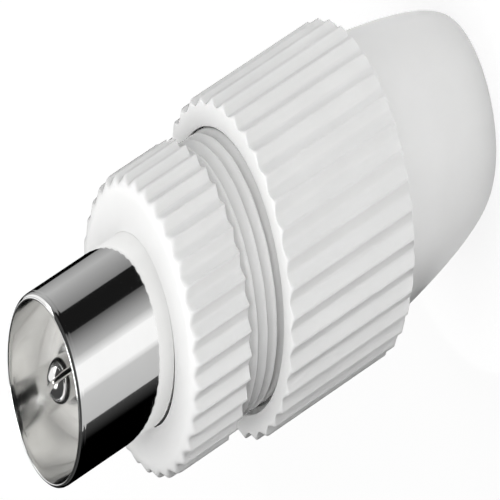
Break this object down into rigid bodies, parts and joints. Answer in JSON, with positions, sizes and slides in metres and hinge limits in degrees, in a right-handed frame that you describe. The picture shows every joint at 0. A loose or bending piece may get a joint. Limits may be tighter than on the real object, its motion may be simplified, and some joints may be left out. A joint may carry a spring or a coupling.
{
  "type": "coaxial plug",
  "caption": "Coaxial aerial plug with a plated contact tube, a ribbed front nut part unscrewed from a ribbed rear sleeve, and a centre pin in a white insulator.",
  "frame": {"origin": "centre of the cable end of the rear sleeve, on the plug's axis, where it stands", "axes": "+Z along the plug's axis from the cable end to the mouth of the contact tube, +X the side that the terminal screw faces"},
  "size_m": [0.017, 0.017, 0.0435],
  "materials": {
    "white_plastic": "satin moulded plastic",
    "insulator_plastic": "matt moulded plastic",
    "nickel": "bright nickel plating",
    "screw_steel": "zinc plated"
  },
  "bodies": {
    "sleeve": {"rear_sleeve": "white_plastic"},
    "insert": {"outer_contact": "nickel", "insulator": "insulator_plastic", "centre_pin": "nickel"},
    "nut": {"front_nut": "white_plastic"},
    "screw": {"terminal_screw": "screw_steel"}
  },
  "joints": [
    {"name": "insert_slide", "type": "slide", "parent": "sleeve", "child": "insert", "axis": [0, 0, 1], "range_m": [-0.00345, 0.004]},
    {"name": "nut_turn", "type": "hinge", "parent": "insert", "child": "nut", "pos_m": [0, 0, 0.03], "axis": [0, 0, 1], "range_deg": [-1242.1, 1440.1]},
    {"name": "screw_slide", "type": "slide", "parent": "insert", "child": "screw", "axis": [1, 0, 0], "range_m": [-0.00028, 0.0006]}
  ],
  "couplings": [
    {"joint": "nut_turn", "follows": "insert_slide", "rad_per_m": 6283.2}
  ]
}
